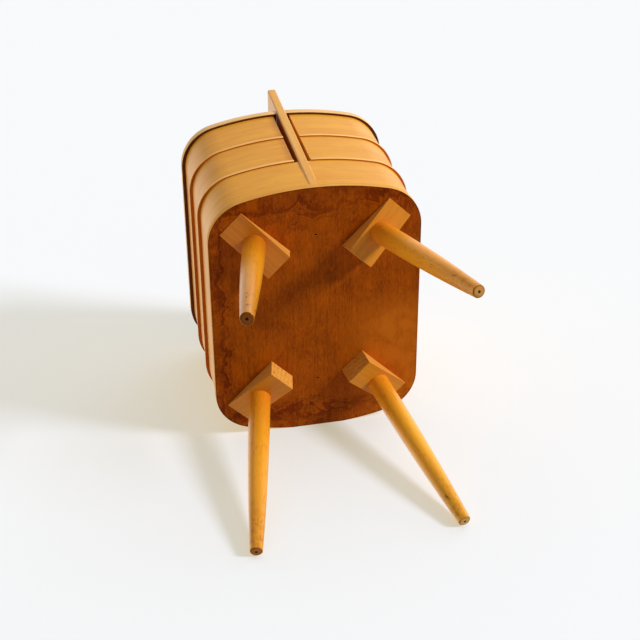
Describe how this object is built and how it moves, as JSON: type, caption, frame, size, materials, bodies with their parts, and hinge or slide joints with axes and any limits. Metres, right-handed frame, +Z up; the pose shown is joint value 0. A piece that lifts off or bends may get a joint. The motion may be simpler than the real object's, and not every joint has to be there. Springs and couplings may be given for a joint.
{
  "type": "sewing box",
  "caption": "Sewing box on splayed turned legs: a fixed lower tier, swing-out trays on each side of a carrying board with a hand slot, and hinged lids on top.",
  "frame": {"origin": "centre of the bounding box at floor level, midway between the four feet", "axes": "+Z up, Y along the carrying board, X across the box"},
  "size_m": [0.2656, 0.355, 0.531],
  "materials": {
    "bottom_panel": "dark stained veneer, satin",
    "bent_walls": "varnished bent beech, satin",
    "carrying_board": "varnished beech, satin",
    "leg_blocks": "varnished beech, satin",
    "legs": "varnished turned beech, semi-gloss",
    "pivot_wood": "plain beech, matt",
    "inner_walls": "plain beech, matt",
    "tray_floors": "plywood with varnished edges, satin",
    "lids": "dark stained veneer, satin",
    "hinge_brass": "aged brass",
    "hinge_pins": "steel wire",
    "hinge_screws": "aged brass",
    "board_nails": "dull steel",
    "pivot_steel": "brushed",
    "washers": "aged brass"
  },
  "bodies": {
    "stand": {"bottom_panel": "bottom_panel", "lower_band_left": "bent_walls", "lower_band_right": "bent_walls", "centre_board": "carrying_board", "board_nails": "board_nails", "leg_block_front_left": "leg_blocks", "leg_block_front_right": "leg_blocks", "leg_block_back_left": "leg_blocks", "leg_block_back_right": "leg_blocks", "leg_front_left": "legs", "leg_front_right": "legs", "leg_back_left": "legs", "leg_back_right": "legs", "pivot_post_left": "pivot_wood", "pivot_post_right": "pivot_wood", "pivot_rod_left": "pivot_steel", "pivot_rod_right": "pivot_steel", "pivot_washers": "washers", "rod_nuts": "pivot_steel", "board_hinge_leaves_left": "hinge_brass", "board_hinge_leaves_right": "hinge_brass", "hinge_pins_left": "hinge_pins", "hinge_pins_right": "hinge_pins", "board_hinge_screws": "hinge_screws"},
    "middle_tray_left": {"middle_band_left": "bent_walls", "middle_inner_wall_left": "inner_walls", "middle_floor_left": "tray_floors", "middle_pivot_block_left": "pivot_wood"},
    "middle_tray_right": {"middle_band_right": "bent_walls", "middle_inner_wall_right": "inner_walls", "middle_floor_right": "tray_floors", "middle_pivot_block_right": "pivot_wood"},
    "upper_tray_left": {"upper_band_left": "bent_walls", "upper_inner_wall_left": "inner_walls", "upper_floor_left": "tray_floors", "upper_pivot_block_left": "pivot_wood"},
    "upper_tray_right": {"upper_band_right": "bent_walls", "upper_inner_wall_right": "inner_walls", "upper_floor_right": "tray_floors", "upper_pivot_block_right": "pivot_wood"},
    "lid_left": {"lid_left": "lids", "lid_hinge_leaves_left": "hinge_brass", "lid_hinge_screws_left": "hinge_screws"},
    "lid_right": {"lid_right": "lids", "lid_hinge_leaves_right": "hinge_brass", "lid_hinge_screws_right": "hinge_screws"}
  },
  "joints": [
    {"name": "middle_tray_swing_left", "type": "hinge", "parent": "stand", "child": "middle_tray_left", "pos_m": [-0.0375, 0.15587, 0.35613], "axis": [0, 0, -1], "range_deg": [0, 90]},
    {"name": "middle_tray_swing_right", "type": "hinge", "parent": "stand", "child": "middle_tray_right", "pos_m": [0.0375, 0.15587, 0.35613], "axis": [0, 0, 1], "range_deg": [0, 90]},
    {"name": "upper_tray_swing_left", "type": "hinge", "parent": "stand", "child": "upper_tray_left", "pos_m": [-0.0375, 0.15587, 0.42693], "axis": [0, 0, -1], "range_deg": [0, 90]},
    {"name": "upper_tray_swing_right", "type": "hinge", "parent": "stand", "child": "upper_tray_right", "pos_m": [0.0375, 0.15587, 0.42693], "axis": [0, 0, 1], "range_deg": [0, 90]},
    {"name": "lid_hinge_left", "type": "hinge", "parent": "stand", "child": "lid_left", "pos_m": [-0.0082, 0, 0.47518], "axis": [0, 1, 0], "range_deg": [0, 95]},
    {"name": "lid_hinge_right", "type": "hinge", "parent": "stand", "child": "lid_right", "pos_m": [0.0082, 0, 0.47518], "axis": [0, -1, 0], "range_deg": [0, 95]}
  ]
}
